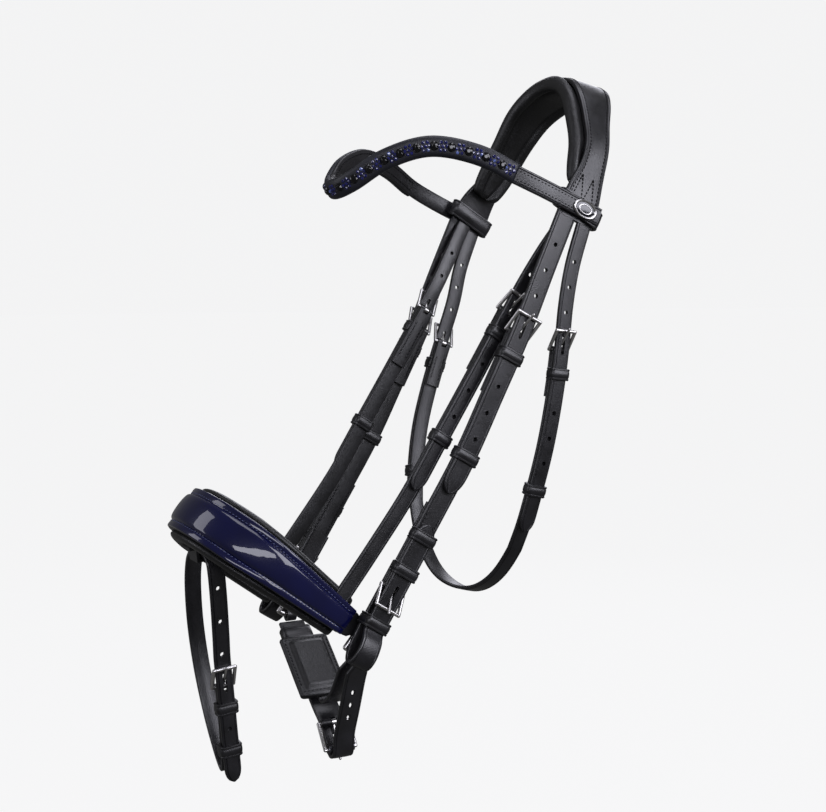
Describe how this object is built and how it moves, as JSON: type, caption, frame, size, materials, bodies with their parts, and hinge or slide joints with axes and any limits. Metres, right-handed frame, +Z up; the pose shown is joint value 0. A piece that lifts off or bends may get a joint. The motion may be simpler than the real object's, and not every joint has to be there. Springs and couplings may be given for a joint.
{
  "type": "snaffle bridle",
  "caption": "Black leather snaffle bridle with a curved padded headpiece, waved crystal browband, navy patent crank noseband, flash strap, throatlash and open bit loops.",
  "frame": {"origin": "middle of the headpiece pad's underside, where it rests on the horse's poll", "axes": "+Z up, the horse's face along -Y, its left (near) side +X; the bridle is closed and shaped as on a head, and X = 0 is the head's middle plane"},
  "size_m": [0.1714, 0.3428, 0.5053],
  "materials": {
    "headpiece_leather": "smooth, lightly glossed black leather",
    "strap_leather": "smooth black leather",
    "billet_leather": "smooth black leather with creased edges",
    "pad_leather": "soft matte black leather over padding",
    "browband_cloth": "dark navy-black padded leather",
    "patent": "navy patent leather, high gloss",
    "crystal": "faceted black and navy glass",
    "silver": "polished stainless",
    "roller_steel": "darkened steel"
  },
  "bodies": {
    "headpiece": {"crownpiece": "headpiece_leather", "crown_pad": "pad_leather"},
    "browband": {"browband": "strap_leather", "browband_padding": "browband_cloth", "browband_crystals": "crystal", "browband_badge": "silver"},
    "cheek_near": {"cheek_billet_near": "billet_leather", "cheekpiece_near": "strap_leather", "cheek_buckle_near": "silver", "bit_buckle_near": "silver", "bit_billet_near": "billet_leather", "cheek_keepers_near": "strap_leather"},
    "cheek_far": {"cheek_billet_far": "billet_leather", "cheekpiece_far": "strap_leather", "cheek_buckle_far": "silver", "bit_buckle_far": "silver", "bit_billet_far": "billet_leather", "cheek_keepers_far": "strap_leather"},
    "throatlash": {"throat_billet_near": "billet_leather", "throat_billet_far": "billet_leather", "throatlash": "strap_leather", "throat_buckles": "silver", "throat_keepers": "strap_leather"},
    "noseband": {"hanger_billet_near": "billet_leather", "hanger_billet_far": "billet_leather", "hanger_near": "strap_leather", "hanger_far": "strap_leather", "hanger_buckles": "silver", "hanger_keepers": "strap_leather", "noseband_pad": "pad_leather", "noseband_leather": "strap_leather", "noseband_patent": "patent", "crank_rings": "silver", "flash_tab": "strap_leather"},
    "flash": {"flash_strap": "billet_leather", "flash_buckle": "silver", "flash_keepers": "strap_leather"},
    "chin": {"chin_strap": "strap_leather", "chin_pad": "pad_leather", "chin_keepers": "strap_leather", "roller_link": "silver", "crank_billet": "billet_leather"},
    "roller": {"crank_roller": "roller_steel"},
    "crank_tongue": {"crank_tongue": "silver"},
    "cheek_tongue_near": {"cheek_tongue_near": "silver"},
    "cheek_tongue_far": {"cheek_tongue_far": "silver"},
    "bit_tongue_near": {"bit_tongue_near": "silver"},
    "bit_tongue_far": {"bit_tongue_far": "silver"},
    "hanger_tongue_near": {"hanger_tongue_near": "silver"},
    "hanger_tongue_far": {"hanger_tongue_far": "silver"},
    "throat_tongue_near": {"throat_tongue_near": "silver"},
    "throat_tongue_far": {"throat_tongue_far": "silver"},
    "flash_tongue": {"flash_tongue": "silver"},
    "cheek_runner_near": {"cheek_runner_near": "strap_leather"},
    "cheek_runner_far": {"cheek_runner_far": "strap_leather"},
    "hanger_runner_near": {"hanger_runner_near": "strap_leather"},
    "hanger_runner_far": {"hanger_runner_far": "strap_leather"},
    "throat_runner_near": {"throat_runner_near": "strap_leather"},
    "throat_runner_far": {"throat_runner_far": "strap_leather"},
    "flash_runner": {"flash_runner": "strap_leather"}
  },
  "joints": [
    {"name": "browband_slide", "type": "slide", "parent": "headpiece", "child": "browband", "axis": [0, -0.4311, -0.9023], "range_m": [0, 0.0025]},
    {"name": "cheek_near_hinge", "type": "hinge", "parent": "headpiece", "child": "cheek_near", "pos_m": [0.077, -0.054, -0.1], "axis": [0, -1, 0], "range_deg": [0, 15]},
    {"name": "cheek_far_hinge", "type": "hinge", "parent": "headpiece", "child": "cheek_far", "pos_m": [-0.077, -0.054, -0.1], "axis": [0, 1, 0], "range_deg": [0, 15]},
    {"name": "throatlash_hinge", "type": "hinge", "parent": "headpiece", "child": "throatlash", "pos_m": [0, -0.04, -0.104], "axis": [1, 0, 0], "range_deg": [0, 18]},
    {"name": "noseband_hinge", "type": "hinge", "parent": "headpiece", "child": "noseband", "pos_m": [0, -0.051, -0.1], "axis": [-1, 0, 0], "range_deg": [0, 8]},
    {"name": "flash_hinge", "type": "hinge", "parent": "noseband", "child": "flash", "pos_m": [0, -0.29639, -0.32619], "axis": [1, 0, 0], "range_deg": [-12, 12]},
    {"name": "chin_hinge", "type": "hinge", "parent": "noseband", "child": "chin", "pos_m": [0, -0.20865, -0.37921], "axis": [1, 0, 0], "range_deg": [-1, 18]},
    {"name": "roller_spin", "type": "hinge", "parent": "chin", "child": "roller", "pos_m": [0.031, -0.20865, -0.4705], "axis": [0, 1, 0], "continuous": true},
    {"name": "crank_tongue_hinge", "type": "hinge", "parent": "chin", "child": "crank_tongue", "pos_m": [0.019, -0.20865, -0.455], "axis": [0, 1, 0], "range_deg": [0, 15]},
    {"name": "cheek_tongue_near_hinge", "type": "hinge", "parent": "cheek_near", "child": "cheek_tongue_near", "pos_m": [0.0726, -0.08999, -0.178], "axis": [0, 0.8963, -0.4435], "range_deg": [0, 60]},
    {"name": "cheek_tongue_far_hinge", "type": "hinge", "parent": "cheek_far", "child": "cheek_tongue_far", "pos_m": [-0.0726, -0.08999, -0.178], "axis": [0, -0.8963, 0.4435], "range_deg": [0, 60]},
    {"name": "bit_tongue_near_hinge", "type": "hinge", "parent": "cheek_near", "child": "bit_tongue_near", "pos_m": [0.0726, -0.1885, -0.35], "axis": [0, -0.8434, 0.5373], "range_deg": [0, 60]},
    {"name": "bit_tongue_far_hinge", "type": "hinge", "parent": "cheek_far", "child": "bit_tongue_far", "pos_m": [-0.0726, -0.1885, -0.35], "axis": [0, 0.8434, -0.5373], "range_deg": [0, 60]},
    {"name": "hanger_tongue_near_hinge", "type": "hinge", "parent": "noseband", "child": "hanger_tongue_near", "pos_m": [0.0595, -0.09099, -0.16298], "axis": [0, 0.8499, -0.527], "range_deg": [0, 6]},
    {"name": "hanger_tongue_far_hinge", "type": "hinge", "parent": "noseband", "child": "hanger_tongue_far", "pos_m": [-0.0595, -0.09099, -0.16298], "axis": [0, -0.8499, 0.527], "range_deg": [0, 6]},
    {"name": "throat_tongue_near_hinge", "type": "hinge", "parent": "throatlash", "child": "throat_tongue_near", "pos_m": [0.0714, -0.05398, -0.18992], "axis": [0.0017, 0.9937, -0.112], "range_deg": [0, 60]},
    {"name": "throat_tongue_far_hinge", "type": "hinge", "parent": "throatlash", "child": "throat_tongue_far", "pos_m": [-0.0712, -0.06847, -0.18987], "axis": [-0.0043, -0.9402, 0.3406], "range_deg": [0, 60]},
    {"name": "flash_tongue_hinge", "type": "hinge", "parent": "flash", "child": "flash_tongue", "pos_m": [0.0071, -0.2873, -0.42056], "axis": [0, 0.9954, 0.0958], "range_deg": [0, 60]},
    {"name": "cheek_runner_near_slide", "type": "slide", "parent": "cheek_near", "child": "cheek_runner_near", "axis": [0, 0.4795, 0.8776], "range_m": [-0.004, 0.008]},
    {"name": "cheek_runner_far_slide", "type": "slide", "parent": "cheek_far", "child": "cheek_runner_far", "axis": [0, 0.4795, 0.8776], "range_m": [-0.004, 0.008]},
    {"name": "hanger_runner_near_slide", "type": "slide", "parent": "noseband", "child": "hanger_runner_near", "axis": [0.0036, 0.5382, 0.8428], "range_m": [-0.01, 0.008]},
    {"name": "hanger_runner_far_slide", "type": "slide", "parent": "noseband", "child": "hanger_runner_far", "axis": [-0.0036, 0.5382, 0.8428], "range_m": [-0.01, 0.008]},
    {"name": "throat_runner_near_slide", "type": "slide", "parent": "throatlash", "child": "throat_runner_near", "axis": [0.1402, 0.204, 0.9689], "range_m": [-0.004, 0.004]},
    {"name": "throat_runner_far_slide", "type": "slide", "parent": "throatlash", "child": "throat_runner_far", "axis": [-0.2319, 0.1684, 0.958], "range_m": [-0.004, 0.004]},
    {"name": "flash_runner_slide", "type": "slide", "parent": "flash", "child": "flash_runner", "axis": [0.0698, -0.0956, 0.993], "range_m": [-0.0025, 0.004]}
  ]
}
